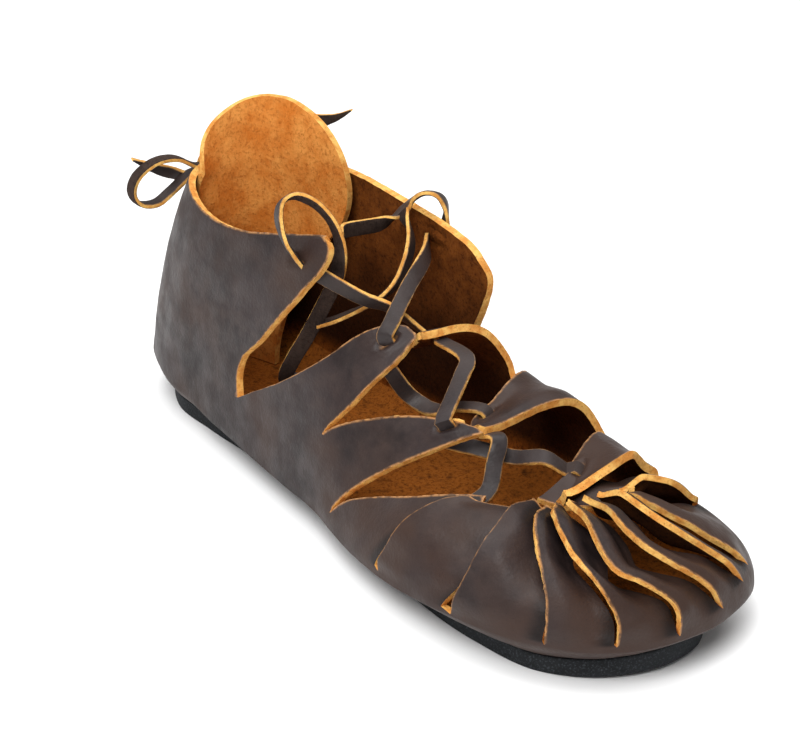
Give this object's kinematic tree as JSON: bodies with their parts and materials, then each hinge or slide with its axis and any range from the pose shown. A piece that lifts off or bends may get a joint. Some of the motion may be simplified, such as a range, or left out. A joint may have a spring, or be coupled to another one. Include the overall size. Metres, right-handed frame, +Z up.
{
  "type": "leather sandal",
  "caption": "Right leather sandal wrapped from thick oiled leather, with a gathered strip toe, lace tabs over the foot, a round heel tab, a flat leather lace and a thin rubber sole.",
  "frame": {"origin": "middle of the shoe's box on the floor, under the flat of the sole", "axes": "+X towards the toe, +Y towards the inner side of the foot, +Z up"},
  "size_m": [0.285, 0.0996, 0.1175],
  "materials": {
    "leather": "dark brown oiled leather with a soft pull-up sheen and tan cut edges",
    "suede": "orange tan flesh side with a short nap",
    "lace": "dark brown flat lace with tan cut edges",
    "rubber": "matt black fine foam rubber"
  },
  "bodies": {
    "root": {"upper": "leather", "heel_tab": "suede", "outsole": "rubber", "lace_bar_1": "lace", "lace_bar_2": "lace", "lace_bar_3": "lace", "lace_bar_4": "lace", "lace_bar_5": "lace", "lace_bar_6": "lace", "lace_loop_outer": "lace", "lace_loop_inner": "lace", "lace_loop_throat": "lace", "lace_bow_outer": "lace", "lace_bow_inner": "lace", "lace_end_outer": "lace", "lace_end_inner": "lace", "lace_knot": "lace"}
  },
  "joints": []
}
